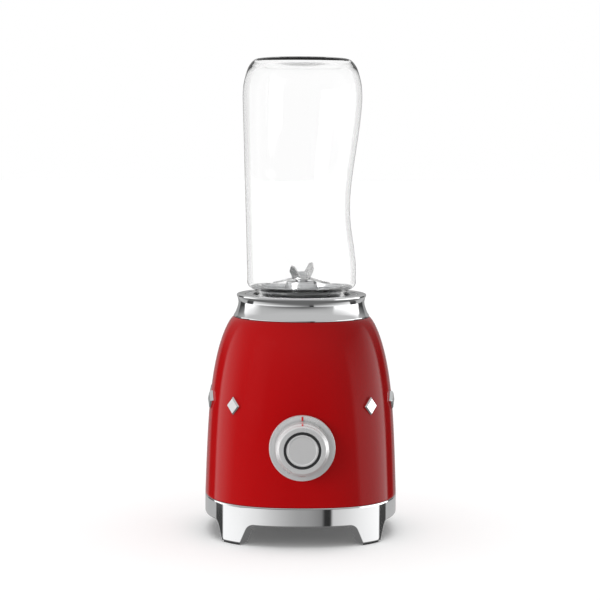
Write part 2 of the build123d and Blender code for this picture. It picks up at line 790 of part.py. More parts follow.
def make_microswitch():
    """Snap switch below the plunger."""
    high = stem_low - 1.4
    body = block(-3, 3, -8.5, 8.5, high - 10, high)
    body += disc(0.9, high - 0.5, stem_low - 0.3)
    body += [block(-0.4, 0.4, y - 1.2, y + 1.2, high - 14, high - 9) for y in (-6, 0, 6)]
    body -= [Pos(0, y, high - 7) * Rot(0, 90, 0) * Cylinder(1.1, 10) for y in (-5, 5)]
    body += [block(-5, 5, s * 8 - 0.6, s * 8 + 0.6, high - 3, bracket_top - bracket_thick) for s in (-1, 1)]
    return Pos(plunger_x, plunger_y, 0) * Rot(0, 0, plunger_angle) * body


# ---- blade unit ----
bush_r = shaft_r + 3.2
hub_wall = 3.0
cap_top = holder_top + 9.0
dish_thick = 1.0
hub_top = cap_top - dish_thick
dish_low = holder_top - 1.0
dish_rim_r = neck_bore_r - 0.7
dish_rim = holder_top + 4.6
pedestal_r = dish_rim_r - 2.4
seal_height = 2.6


def make_blade_holder():
    """Cup that screws on to the bottle and sits in the well, with three lugs outside."""
    holder = disc(holder_r, holder_low, holder_top)
    holder += disc(flange_r, holder_top - 2.2, holder_top)
    holder += spun(wedge(holder_r - 0.5, lug_out, 0, lug_width, lug_low, lug_low + lug_height), 3)
    holder -= disc(holder_bore_r, holder_floor, holder_top + 1)
    holder += ring(pedestal_r, pedestal_r - 2.0, holder_floor - 0.5, dish_low - dish_thick)
    holder += disc(bush_r + hub_wall, holder_floor - 0.5, hub_top - seal_height)
    holder -= disc(bush_r, bush_low, hub_top + 1)
    holder -= disc(dog_out + 1.2, holder_low - 1, driven_top + 0.9)
    holder += thread_ridge(holder_bore_r, holder_bore_r - thread_height, thread_start + thread_pitch / 2)
    return holder


thread_start = bottle_mouth + 2.2
cap_r = bush_r + hub_wall + 0.6


def make_blade_dish():
    """Pressed steel floor of the blade unit: a raised centre, a channel and an upturned rim."""
    hole = shaft_r + run_gap + 0.6
    top = [(hole, cap_top), (cap_r - 1.0, cap_top), (cap_r, cap_top - 0.8), (cap_r + 0.8, dish_low + 1.6),
           (cap_r + 2.6, dish_low), (pedestal_r, dish_low), (dish_rim_r - 0.6, dish_low + 1.4),
           (dish_rim_r, dish_rim)]
    below = dish_low - dish_thick
    under = [(dish_rim_r - 0.8, dish_rim), (dish_rim_r - 1.5, dish_low + 1.1), (pedestal_r - 0.6, below),
             (cap_r + 2.0, below), (cap_r - 0.2, dish_low + 1.0), (cap_r - 0.3, hub_top - 1.4),
             (cap_r - 1.0, hub_top), (hole, hub_top)]
    return turned(top + under)


def make_blade_bush():
    return ring(bush_r, shaft_r + run_gap, bush_low, hub_top - seal_height)


def make_shaft_seal():
    """Rubber lip seal above the bush."""
    low, bore = hub_top - seal_height, shaft_r + run_gap
    return turned([(bore, low), (bush_r + 1.2, low), (bush_r + 1.2, low + 1.2),
                   (bush_r - 0.4, hub_top - 0.2), (bore, hub_top - 0.2)])


blade_level = cap_top + 1.2
blade_thick = 1.2
nut_height = 2.0
washer_thick = 0.6
washer_low = blade_level + 2 * blade_thick
nut_low = washer_low + washer_thick
lower_azimuth, lower_droop = -8.0, 14.0
upper_azimuth, upper_rise = 52.0, 55.0


def make_blade_shaft():
    """Steel spindle, stepped where the blades sit."""
    spindle = disc(shaft_r, driven_plate + 0.6, blade_level)
    spindle += disc(drive_r, blade_level - 0.5, nut_low + nut_height + 0.4)
    return chamfer(spindle.edges().sort_by(Axis.Z)[-1], 0.3)


def make_wing(reach, root, tip, tilt, level):
    """Half of a blade along +X: flat root, then a bent arm with a slanted point."""
    bend = drive_r + 3.0
    arm = reach - bend
    outline = Polyline((0, -root), (arm * 0.55, -root), (arm, -tip * 0.2),
                       (arm * 0.9, tip), (0, root), close=True)
    wing = extrude(make_face(outline), blade_thick)
    edge = wing.faces().sort_by(Axis.Z)[-1].edges().sort_by(Axis.Y)[0]
    wing = chamfer(edge, blade_thick * 0.6)
    return Pos(bend, 0, level) * Rot(0, -tilt, 0) * wing


def make_blade(level, azimuth, reach, second_reach, root, tip, tilt):
    """Cross blade with two arms bent up or down by an angle."""
    hub = disc(drive_r + 3.4, level, level + blade_thick)
    arms = [make_wing(reach, root, tip, tilt, level),
            Rot(0, 0, 180) * make_wing(second_reach, root, tip, tilt, level)]
    blade = joined([hub] + arms) - disc(drive_r, level - 1, level + blade_thick + 1)
    return Rot(0, 0, azimuth) * blade


def make_lower_blade():
    return make_blade(blade_level, lower_azimuth, blade_reach, blade_reach, 3.2, 2.6, -lower_droop)


def make_upper_blade():
    reach = blade_reach * 0.87
    return make_blade(blade_level + blade_thick, upper_azimuth, reach, reach * 0.92, 3.5, 2.0, upper_rise)


def make_blade_washer():
    return ring(drive_r + 1.7, drive_r, washer_low, nut_low)


def make_blade_nut():
    corner_r, high = drive_r + 1.4, nut_low + nut_height
    nut = extrude(Pos(0, 0, nut_low) * RegularPolygon(corner_r, 6), nut_height)
    crown = turned([(0, nut_low - 1), (corner_r + 1, nut_low - 1), (corner_r + 1, high - 1.2),
                    (corner_r - 0.8, high), (0, high)])
    nut &= crown
    return nut - disc(drive_r, nut_low - 1, high + 1)


# ---- bottle ----
def make_bottle_seal():
    return ring(holder_bore_r - 0.3, pedestal_r + 0.5, holder_floor, bottle_mouth)


shoulder_low = holder_top + 3.6
shoulder_r = bottle_r - 3.5
shoulder_round = 5.0
side_low = shoulder_low + shoulder_round + 4.0
end_rise = 25.3             # height over which the sides round off to the flat end
side_high = bottle_top - end_rise
grip_share = 0.4            # where the waist is deepest, as a share of the sides' height


def shoulder_form(inset, rise):
    """Neck and round shoulder, moved in by inset and up by rise."""
    low, r = shoulder_low + rise, shoulder_r - inset
    inner_r, mouth = neck_r - inset, bottle_mouth - 5 * rise
    turn = shoulder_round - inset * 0.5
    outline = Polyline((0, mouth), (inner_r, mouth), (inner_r, low - 1),
                       (inner_r + 0.6, low), (r - turn, low))
    outline += ThreePointArc((r - turn, low), (r - turn * 0.293, low + turn * 0.293), (r, low + turn))
    outline += Polyline((r, low + turn), (r, side_low), (0, side_low), (0, mouth))
    return revolve(Plane.XZ * make_face(outline), Axis.Z)


def grip_depth_at(share):
    """How far the +X side is drawn in at a share of the sides' height."""
    reach = grip_share if share < grip_share else 1 - grip_share
    return grip_depth * math.cos(math.pi / 2 * (share - grip_share) / reach) ** 2


def side_form(inset):
    """Sides of round sections, which move off the axis at the grip waist."""
    sections = []
    for step in range(11):
        share = step / 10
        spread = shoulder_r + (bottle_r - shoulder_r) * share
        waist = grip_depth_at(share)
        place = Pos(-waist / 2, 0, side_low + share * (side_high - side_low))
        sections.append(place * Circle(spread - waist / 2 - inset))
    return loft(sections)


def end_form(inset, drop):
    """Rounded flat end of the bottle."""
    r, rise = bottle_r - inset, end_rise - drop
    points = [(r - back, side_high + share * rise)
              for back, share in ((0, 0), (0.7, 0.32), (2.8, 0.65), (4.8, 0.82), (8.0, 0.96), (11.5, 1.0))]
    outline = Spline(*points, tangents=[(0, 1), (-1, 0)])
    outline += Polyline(points[-1], (0, points[-1][1]), (0, side_high), (r, side_high))
    return revolve(Plane.XZ * make_face(outline), Axis.Z)


def make_bottle():
    """Clear bottle, mouth down, with a grip waist on one side and an outside thread."""
    outer = shoulder_form(0, 0) + side_form(0) + end_form(0, 0)
    outer += ring(neck_r + 1.2, neck_r - 1, shoulder_low - 1.8, shoulder_low + 0.2)
    inner = shoulder_form(bottle_wall, bottle_wall * 0.7) + side_form(bottle_wall)
    inner += end_form(bottle_wall, bottle_base_wall)
    return outer - inner + thread_ridge(neck_r, neck_r + thread_height, thread_start)


NODES = {
    "body_shell": make_body_shell, "collar_ring": make_collar_ring, "well_liner": make_well_liner,
    "base_ring": make_base_ring, "foot_pads": make_foot_pads, "bottom_cover": make_bottom_cover,
    "bottom_screws": make_bottom_screws, "collar_screws": make_collar_screws,
    "side_studs": make_side_studs, "cord_gland": make_cord_gland,
    "dial_bezel": make_dial_bezel, "bezel_mark": bezel_mark_form, "dial_knob": make_dial_knob,
    "knob_pointer": knob_pointer_form, "light_ring": make_light_ring, "centre_button": make_centre_button,
    "button_spring": make_button_spring, "dial_shaft": make_dial_shaft,
    "rotary_switch": make_rotary_switch, "control_board": make_control_board,
    "stator_core": make_stator_core, "field_coils": make_field_coils,
    "armature_core": make_armature_core, "armature_winding": make_armature_winding,
    "commutator": make_commutator, "motor_shaft": make_motor_shaft,
    "upper_bearing": make_upper_bearing, "lower_bearing": make_lower_bearing,
    "upper_bracket": make_upper_bracket, "lower_bracket": make_lower_bracket,
    "motor_screws": make_motor_screws, "rubber_mounts": make_rubber_mounts,
    "brush_holders": make_brush_holders, "carbon_brushes": make_carbon_brushes,
    "brush_springs": make_brush_springs, "cooling_fan": make_cooling_fan,
    "drive_coupler": make_drive_coupler, "driven_coupler": make_driven_coupler,
    "lock_ring": make_lock_ring, "lock_plunger": make_lock_plunger, "plunger_spring": make_plunger_spring,
    "switch_bracket": make_switch_bracket, "microswitch": make_microswitch,
    "blade_holder": make_blade_holder, "blade_dish": make_blade_dish, "blade_bush": make_blade_bush,
    "shaft_seal": make_shaft_seal, "blade_shaft": make_blade_shaft, "lower_blade": make_lower_blade,
    "upper_blade": make_upper_blade, "blade_washer": make_blade_washer, "blade_nut": make_blade_nut,
    "bottle_seal": make_bottle_seal, "bottle": make_bottle,
}

os.makedirs("parts", exist_ok=True)
for name, maker in NODES.items():
    solids = maker().solids()
    shape = solids[0] if len(solids) == 1 else Compound(children=solids)
    export_step(shape, f"parts/{name}.step")
    print(name, round(shape.volume), len(shape.solids()))
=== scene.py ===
"""Looks of the countertop blender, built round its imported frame. Metres, +Z up, the dial faces -Y."""
import json
import math

import bmesh
import bpy
from mathutils import Matrix, Vector


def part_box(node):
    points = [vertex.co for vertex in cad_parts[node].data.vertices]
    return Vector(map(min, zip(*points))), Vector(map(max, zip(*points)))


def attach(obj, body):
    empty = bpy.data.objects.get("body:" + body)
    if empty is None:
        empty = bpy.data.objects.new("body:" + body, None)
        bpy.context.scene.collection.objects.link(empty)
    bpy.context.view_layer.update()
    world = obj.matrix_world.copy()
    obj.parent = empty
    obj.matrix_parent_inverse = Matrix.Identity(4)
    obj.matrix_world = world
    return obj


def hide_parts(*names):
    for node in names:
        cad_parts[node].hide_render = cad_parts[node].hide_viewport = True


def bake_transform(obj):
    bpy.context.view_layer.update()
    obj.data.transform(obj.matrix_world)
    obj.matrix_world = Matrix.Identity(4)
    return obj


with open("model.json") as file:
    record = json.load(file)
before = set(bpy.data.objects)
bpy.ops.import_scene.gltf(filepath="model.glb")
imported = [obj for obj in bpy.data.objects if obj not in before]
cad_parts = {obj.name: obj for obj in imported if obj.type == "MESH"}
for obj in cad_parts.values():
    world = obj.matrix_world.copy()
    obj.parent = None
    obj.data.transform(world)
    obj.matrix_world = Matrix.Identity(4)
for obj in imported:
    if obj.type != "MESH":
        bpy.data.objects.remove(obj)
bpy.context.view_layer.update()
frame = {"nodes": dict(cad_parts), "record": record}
MM = 0.001

# ---- sizes, taken from the frame ----
shell_low, shell_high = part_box("body_shell")
base_low, base_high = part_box("base_ring")
collar_low, collar_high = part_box("collar_ring")
dish_low, dish_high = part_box("blade_dish")
bottle_low, bottle_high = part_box("bottle")
bezel_low, bezel_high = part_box("dial_bezel")
knob_low, knob_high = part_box("dial_knob")
button_low, button_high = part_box("centre_button")
light_low, light_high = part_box("light_ring")

BODY_HALF = base_high.y                     # half the base's width
SKIRT_TOP = base_high.z
PAD_TOP = base_low.z
SHELL_TOP = shell_high.z
PLAN_POWER, NECK_POWER = 2.45, 2.05         # squareness of the base and of the shell's top
SHELL_WALL = 2.6 * MM
COLLAR_FOOT_R = collar_high.x
COLLAR_TOP = collar_high.z
LINER_R = COLLAR_FOOT_R - 6.4 * MM
WELL_R = LINER_R - 1.8 * MM
ARCH_TOP = 13.7 * MM
FOOT_WALL = 6.4 * MM
FRONT_ARCH = (BODY_HALF * 0.62, BODY_HALF * 0.535)   # half-widths at the floor and at the top
SIDE_ARCH = (BODY_HALF * 0.69, BODY_HALF * 0.62)
BOTTLE_R = bottle_high.y
BOTTLE_TOP, BOTTLE_MOUTH = bottle_high.z, bottle_low.z
BOTTLE_WALL, BOTTLE_BASE = 2.3 * MM, 3.0 * MM
HOLDER_TOP = COLLAR_TOP - 0.5 * MM
GRIP_DEPTH, GRIP_SHARE = 5.8 * MM, 0.4
NECK_R = 31.5 * MM
KNOB_R = (knob_high.x - knob_low.x) / 2
BEZEL_R = (bezel_high.x - bezel_low.x) / 2
BUTTON_R = (button_high.x - button_low.x) / 2
LIGHT_R = (light_high.x - light_low.x) / 2
DIAL_Z = (knob_low.z + knob_high.z) / 2
DIAL_FACE = bezel_low.y                     # y of the bezel's front plane


# ---- materials ----
def fill_ramp(ramp, stops):
    """Set a grey ramp's stops, given as (position, brightness)."""
    elements = ramp.color_ramp.elements
    while len(elements) < len(stops):
        elements.new(0.5)
    for element, (at, value) in zip(elements, stops):
        element.position, element.color = at, (value, value, value, 1)


class Finish:
    """A Principled material with helpers that add procedural detail."""

    def __init__(self, name, colour, metallic=0.0, roughness=0.5, **sockets):
        self.mat = bpy.data.materials.new(name)
        self.mat.use_nodes = True
        self.tree = self.mat.node_tree
        self.shader = self.tree.nodes["Principled BSDF"]
        self.set("Base Color", (*colour, 1.0))
        self.set("Metallic", metallic)
        self.set("Roughness", roughness)
        for key, value in sockets.items():
            self.set(key.replace("_", " "), value)

    def set(self, socket, value):
        self.shader.inputs[socket].default_value = value

    def node(self, kind, **settings):
        made = self.tree.nodes.new(kind)
        for key, value in settings.items():
            setattr(made, key, value)
        return made

    def link(self, a, b):
        self.tree.links.new(a, b)

    def place(self, stretch=(1, 1, 1), offset=(0, 0, 0)):
        """Object coordinates, scaled per axis."""
        coords = self.node("ShaderNodeTexCoord")
        mapping = self.node("ShaderNodeMapping")
        mapping.inputs["Scale"].default_value = stretch
        mapping.inputs["Location"].default_value = offset
        self.link(coords.outputs["Object"], mapping.inputs["Vector"])
        return mapping.outputs["Vector"]

    def noise(self, scale, detail=3.0, stretch=(1, 1, 1)):
        made = self.node("ShaderNodeTexNoise")
        made.inputs["Scale"].default_value = scale
        made.inputs["Detail"].default_value = detail
        self.link(self.place(stretch), made.inputs["Vector"])
        return made.outputs["Fac"]

    def rings(self, scale, direction, offset=(0, 0, 0)):
        made = self.node("ShaderNodeTexWave", wave_type="RINGS", rings_direction=direction)
        made.inputs["Scale"].default_value = scale
        made.inputs["Distortion"].default_value = 0.4
        made.inputs["Detail"].default_value = 3.0
        self.link(self.place(offset=offset), made.inputs["Vector"])
        return made.outputs["Fac"]

    def bands(self, scale, direction, distortion=0.0):
        made = self.node("ShaderNodeTexWave", wave_type="BANDS", bands_direction=direction)
        made.inputs["Scale"].default_value = scale
        made.inputs["Distortion"].default_value = distortion
        self.link(self.place(), made.inputs["Vector"])
        return made.outputs["Fac"]

    def spread(self, fac, low, high):
        """Map a texture to a range of roughness."""
        made = self.node("ShaderNodeMapRange")
        made.inputs["From Min"].default_value, made.inputs["From Max"].default_value = 0.3, 0.7
        made.inputs["To Min"].default_value, made.inputs["To Max"].default_value = low, high
        self.link(fac, made.inputs["Value"])
        self.link(made.outputs["Result"], self.shader.inputs["Roughness"])
        return self

    def tint(self, fac, a, b, clip=(0.35, 0.65)):
        """Blend the base colour between two colours."""
        ramp = self.node("ShaderNodeValToRGB")
        ramp.color_ramp.elements[0].position, ramp.color_ramp.elements[1].position = clip
        ramp.color_ramp.elements[0].color, ramp.color_ramp.elements[1].color = (*a, 1), (*b, 1)
        self.link(fac, ramp.inputs["Fac"])
        self.link(ramp.outputs["Color"], self.shader.inputs["Base Color"])
        return self

    def bump(self, fac, strength, distance):
        made = self.node("ShaderNodeBump")
        made.inputs["Strength"].default_value = strength
        made.inputs["Distance"].default_value = distance
        self.link(fac, made.inputs["Height"])
        self.link(made.outputs["Normal"], self.shader.inputs["Normal"])
        return self


def enamel():
    f = Finish("red_enamel", (0.295, 0.0016, 0.0024), roughness=0.1, IOR=1.24)
    f.tint(f.noise(6, 2), (0.288, 0.0014, 0.0022), (0.302, 0.0018, 0.0026))
    f.spread(f.noise(40, 4), 0.07, 0.13)
    return f.bump(f.noise(420, 2), 0.02, 0.0001)


def chrome():
    f = Finish("chrome", (0.83, 0.835, 0.84), metallic=1.0, roughness=0.06)
    f.tint(f.noise(9, 3), (0.80, 0.805, 0.81), (0.86, 0.863, 0.868))
    f.spread(f.noise(60, 5), 0.03, 0.075)
    return f.bump(f.noise(300, 2), 0.02, 0.00005)


def satin():
    shade = 0.80
    f = Finish("satin_chrome", (shade,) * 3, metallic=0.7, roughness=0.26)
    turned = f.rings(260, "Y", offset=(0, 0, -DIAL_Z))
    f.tint(turned, (shade * 0.985,) * 3, (shade * 1.01, shade * 1.01, shade * 1.015))
    return f.spread(f.noise(50, 3), 0.26, 0.32)


def clear_plastic():
    """Clear wall whose base colour is painted darker where it is seen edge on: painted shade along its
    outlines.
    """
    f = Finish("clear_bottle", (0.99, 0.99, 0.99), roughness=0.0, IOR=1.33, Transmission_Weight=1.0)
    slant = f.node("ShaderNodeLayerWeight")
    slant.inputs["Blend"].default_value = 0.5
    shade = f.node("ShaderNodeValToRGB")
    f.link(slant.outputs["Facing"], shade.inputs["Fac"])
    # painted shade: base colour brightness from face on (0) to edge on (1)
    stops = [(0.0, 0.995), (0.38, 0.99), (0.46, 0.945), (0.80, 0.92), (0.94, 0.80), (1.0, 0.40)]
    fill_ramp(shade, stops)
    f.link(shade.outputs["Color"], f.shader.inputs["Base Color"])
    f.spread(f.noise(30, 4), 0.0, 0.008)
    return f.bump(f.noise(9, 2), 0.02, 0.0003)


def moulded(name, colour, grain=900, rough=(0.42, 0.58), depth=0.12):
    f = Finish(name, colour, roughness=rough[0])
    f.tint(f.noise(25, 3), tuple(c * 0.88 for c in colour), tuple(c * 1.1 for c in colour))
    f.spread(f.noise(120, 3), *rough)
    return f.bump(f.noise(grain, 2), depth, 0.0002)


def gloss_mark(name, colour):
    f = Finish(name, colour, roughness=0.2, Coat_Weight=0.5)
    f.tint(f.noise(300, 2), tuple(c * 0.9 for c in colour), colour)
    return f.spread(f.noise(400, 2), 0.15, 0.28)


def brushed(name, shade, along=(1, 1, 1), rough=(0.2, 0.36)):
    f = Finish(name, (shade, shade, shade * 1.01), metallic=1.0, roughness=rough[0])
    grain = f.noise(240, 4, along)
    f.tint(grain, (shade * 0.86,) * 3, (shade * 1.1,) * 3)
    f.spread(grain, *rough)
    return f.bump(grain, 0.1, 0.0001)


def pressed_dish():
    f = Finish("dish_steel", (0.55, 0.555, 0.56), metallic=1.0, roughness=0.3)
    turned = f.rings(900, "Z")
    f.tint(turned, (0.44, 0.445, 0.45), (0.60, 0.605, 0.61))
    f.spread(f.noise(90, 4), 0.24, 0.40)
    return f.bump(turned, 0.15, 0.0001)


def laminated():
    f = Finish("lamination", (0.2, 0.2, 0.21), metallic=0.9, roughness=0.45)
    sheets = f.bands(620, "Z")
    f.tint(sheets, (0.09, 0.09, 0.10), (0.26, 0.26, 0.27))
    f.spread(f.noise(60, 3), 0.38, 0.55)
    return f.bump(sheets, 0.5, 0.0002)


def wound(name, colour):
    f = Finish(name, colour, metallic=0.85, roughness=0.3)
    turns = f.bands(480, "DIAGONAL", 1.2)
    f.tint(turns, tuple(c * 0.45 for c in colour), colour)
    f.spread(f.noise(90, 3), 0.24, 0.4)
    return f.bump(turns, 0.7, 0.0004)


def metal(name, colour, rough=(0.25, 0.4), grain=180):
    f = Finish(name, colour, metallic=1.0, roughness=rough[0])
    f.tint(f.noise(50, 4), tuple(c * 0.85 for c in colour), tuple(min(c * 1.08, 1) for c in colour))
    f.spread(f.noise(grain, 4), *rough)
    return f.bump(f.noise(grain * 3, 2), 0.08, 0.0001)


def circuit():
    f = Finish("board_green", (0.03, 0.2, 0.09), roughness=0.3)
    tracks = f.node("ShaderNodeTexBrick")
    tracks.inputs["Scale"].default_value = 90
    tracks.inputs["Mortar Size"].default_value = 0.06
    f.link(f.place(), tracks.inputs["Vector"])
    f.tint(tracks.outputs["Fac"], (0.02, 0.16, 0.07), (0.06, 0.34, 0.16), (0.2, 0.8))
    f.spread(f.noise(200, 2), 0.22, 0.4)
    return f.bump(tracks.outputs["Fac"], 0.2, 0.0001)


MATERIALS = {
    "red_enamel": enamel(), "chrome": chrome(), "satin_chrome": satin(),
    "dark_plastic": moulded("dark_plastic", (0.028, 0.029, 0.031)),
    "grey_plastic": moulded("grey_plastic", (0.46, 0.465, 0.47), rough=(0.3, 0.42), depth=0.06),
    "red_mark": gloss_mark("red_mark", (0.6, 0.01, 0.012)),
    "light_guide": moulded("light_guide", (0.02, 0.02, 0.022), rough=(0.45, 0.6), depth=0.04),
    "rubber": moulded("rubber", (0.022, 0.022, 0.023), grain=500, rough=(0.6, 0.8)),
    "seal_rubber": moulded("seal_rubber", (0.60, 0.60, 0.58), grain=600, rough=(0.4, 0.55)),
    "clear_bottle": clear_plastic(), "blade_steel": brushed("blade_steel", 0.55, (0.2, 1, 1)),
    "dish_steel": pressed_dish(), "plain_steel": metal("plain_steel", (0.52, 0.525, 0.53)),
    "zinc_steel": metal("zinc_steel", (0.62, 0.62, 0.60), (0.3, 0.5), 90),
    "lamination": laminated(), "copper_winding": wound("copper_winding", (0.72, 0.30, 0.12)),
    "commutator_copper": metal("commutator_copper", (0.75, 0.40, 0.22)),
    "brass": metal("brass", (0.76, 0.58, 0.26)), "bronze": metal("bronze", (0.50, 0.34, 0.17), (0.4, 0.6)),
    "carbon": moulded("carbon", (0.03, 0.03, 0.03), grain=1500, rough=(0.5, 0.7)),
    "board_green": circuit(), "motor_plastic": moulded("motor_plastic", (0.06, 0.06, 0.065)),
    "cast_bracket": metal("cast_bracket", (0.58, 0.585, 0.59), (0.45, 0.62), 260),
}


# ---- mesh helpers ----
def add_piece(name, verts, faces, slot, body, *nodes, sharp=None, closed=True):
    """Make a smooth-shaded piece, give it its finish and body, and hide the frame's pieces it stands for."""
    mesh = bpy.data.meshes.new(name)
    mesh.from_pydata([tuple(v) for v in verts], [], faces)
    mesh.validate()
    if closed:
        form = bmesh.new()
        form.from_mesh(mesh)
        bmesh.ops.recalc_face_normals(form, faces=form.faces)
        form.to_mesh(mesh)
        form.free()
    mesh.materials.append(MATERIALS[slot].mat)
    piece = bpy.data.objects.new(name, mesh)
    bpy.context.scene.collection.objects.link(piece)
    mesh.shade_smooth()
    if sharp:
        mesh.set_sharp_from_angle(angle=math.radians(sharp))
        weighted = piece.modifiers.new("even_normals", "WEIGHTED_NORMAL")
        weighted.keep_sharp = True
    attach(piece, body)
    if nodes:
        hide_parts(*nodes)
    return piece


def grid(rows, closed_rows):
    """Faces of a grid of equally long rings of vertices. closed_rows joins the last ring to the first."""
    verts = [v for row in rows for v in row]
    width, count = len(rows[0]), len(rows)
    faces = []
    for i in range(count if closed_rows else count - 1):
        a, b = i * width, ((i + 1) % count) * width
        for j in range(width):
            k = (j + 1) % width
            faces.append((a + j, a + k, b + k, b + j))
    return verts, faces


def arc_corner(before, corner, after, radius, steps=6):
    """Points of a round corner between two straight runs."""
    p, c, q = Vector(before), Vector(corner), Vector(after)
    u, v = (p - c).normalized(), (q - c).normalized()
    half = math.acos(max(-1, min(1, u.dot(v)))) / 2
    if radius <= 0 or half > math.pi / 2 - 0.01:
        return [c]
    cut = min(radius / math.tan(half), (p - c).length * 0.49, (q - c).length * 0.49)
    radius = cut * math.tan(half)
    centre = c + (u + v).normalized() * (radius / math.sin(half))
    start, end = c + u * cut - centre, c + v * cut - centre
    sweep = math.pi - 2 * half
    turn = math.copysign(1, start.x * end.y - start.y * end.x)
    points = []
    for i in range(steps + 1):
        a = turn * sweep * i / steps
        points.append(centre + Vector((start.x * math.cos(a) - start.y * math.sin(a),
                                       start.x * math.sin(a) + start.y * math.cos(a))))
    return points


def outline(points, steps=6):
    """Closed outline of (radius, level, corner radius) points with its corners rounded, in metres."""
    flat = [(r * MM, z * MM) for r, z, *_ in points]
    rounds = [(p[2] if len(p) > 2 else 0) * MM for p in points]
    made = []
    for i, point in enumerate(flat):
        made += arc_corner(flat[i - 1], point, flat[(i + 1) % len(flat)], rounds[i], steps)
    return [(p.x, p.y) for p in made]


def lathe(profile, count=192, closed=True, place=Matrix.Identity(4)):
    """Turn an outline of (radius, level) about Z. Points on the axis give a ring of vertices at one place."""
    rings = []
    for r, z in profile:
        turns = [2 * math.pi * i / count for i in range(count)]
        rings.append([place @ Vector((max(r, 0) * math.cos(a), max(r, 0) * math.sin(a), z)) for a in turns])
    verts, faces = grid(rings, closed)
    return verts, faces


def dial_place():
    """Places a piece turned about Z on the dial's axis, level 0 on the bezel's face."""
    return Matrix.Translation((0, DIAL_FACE, DIAL_Z)) @ Matrix.Rotation(math.pi / 2, 4, "X")


def smooth_points(points, per_span=8):
    """Catmull-Rom curve through 2-D points."""
    made = []
    for i in range(len(points) - 1):
        p0, p1 = Vector(points[max(i - 1, 0)]), Vector(points[i])
        p2, p3 = Vector(points[i + 1]), Vector(points[min(i + 2, len(points) - 1)])
        for k in range(per_span):
            t = k / per_span
            made.append(0.5 * (2 * p1 + (p2 - p0) * t + (2 * p0 - 5 * p1 + 4 * p2 - p3) * t * t
                               + (3 * p1 - p0 - 3 * p2 + p3) * t ** 3))
    return [tuple(p) for p in made] + [tuple(points[-1])]


# ---- housing ----
def plan_radius(angle, half, power):
    c, s = abs(math.cos(angle)), abs(math.sin(angle))
    return half / (c ** power + s ** power) ** (1 / power)


def shell_half(t):
    return COLLAR_FOOT_R + (BODY_HALF - COLLAR_FOOT_R) * (1 - 0.22 * t) * max(0, 1 - t ** 4) ** 0.73


def shell_power(t):
    return PLAN_POWER + (NECK_POWER - PLAN_POWER) * t


def plan_ring(half, power, level, count=256):
    turns = [2 * math.pi * i / count for i in range(count)]
    return [(plan_radius(a, half, power) * math.cos(a), plan_radius(a, half, power) * math.sin(a), level)
            for a in turns]


def body_shell():
    """Red dome with its wall, its rolled foot and the seat for the collar."""
    rise = SHELL_TOP - SKIRT_TOP
    steps = 90
    shares = [math.sin(math.pi / 2 * i / steps) for i in range(steps + 1)]
    foot = 0.7 * MM
    rings = [plan_ring(BODY_HALF - SHELL_WALL, PLAN_POWER, SKIRT_TOP)]
    for a in (0, math.pi / 8, math.pi / 4, math.pi * 3 / 8):
        half, level = BODY_HALF - foot * (1 - math.sin(a)), SKIRT_TOP + foot * (1 - math.cos(a))
        rings.append(plan_ring(half, PLAN_POWER, level))
    rings += [plan_ring(shell_half(t), shell_power(t), SKIRT_TOP + foot * (1 - t) + rise * t) for t in shares]
    inner_top = LINER_R + 0.4 * MM
    rings += [plan_ring(inner_top, 2.0, SHELL_TOP), plan_ring(inner_top, 2.0, SHELL_TOP - SHELL_WALL)]
    for t in shares[::-6]:
        level = SKIRT_TOP + (rise - SHELL_WALL) * t
        rings.append(plan_ring(shell_half(t) - SHELL_WALL, shell_power(t), level))
    verts, faces = grid(rings[:-1], True)
    gland_low, gland_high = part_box("cord_gland")
    gland_z = (gland_low.z + gland_high.z) / 2
    holes = ((-1, DIAL_Z, BEZEL_R - 4.0 * MM), (1, gland_z, (gland_high.z - gland_low.z) / 2 - 2.4 * MM))

    def covered(face):
        """Whether a face lies in one of the holes behind the dial and the cord gland."""
        centre = sum((Vector(verts[i]) for i in face), Vector()) / len(face)
        return any(centre.y * side > 0.03 and math.hypot(centre.x, centre.z - z) < r for side, z, r in holes)

    faces = [f for f in faces if not covered(f)]
    return add_piece("dome_shell", verts, faces, "red_enamel", "housing", "body_shell", sharp=50)


def collar():
    """Polished collar with a hollow waist and a rolled lip."""
    foot, low, high = COLLAR_FOOT_R, SHELL_TOP, COLLAR_TOP
    waist = [(foot, low + 0.9 * MM), (foot - 1.75 * MM, low + 0.26 * (high - low)),
             (foot - 3.2 * MM, low + 0.57 * (high - low)), (foot - 2.9 * MM, low + 0.78 * (high - low)),
             (foot - 2.1 * MM, high - 1.5 * MM)]
    lip = [(foot - 2.12 * MM, high - 0.8 * MM), (foot - 2.5 * MM, high - 0.25 * MM), (foot - 3.3 * MM, high),
           (WELL_R + 0.7 * MM, high), (WELL_R + 0.2 * MM, high - 0.2 * MM), (WELL_R, high - 0.7 * MM),
           (WELL_R, high - 1.2 * MM), (LINER_R, high - 1.2 * MM), (LINER_R, low), (foot - 0.6 * MM, low),
           (foot - 0.1 * MM, low + 0.35 * MM)]
    verts, faces = lathe(smooth_points(waist, 12) + lip, 256)
    return add_piece("polished_collar", verts, faces, "chrome", "housing", "collar_ring", sharp=40)


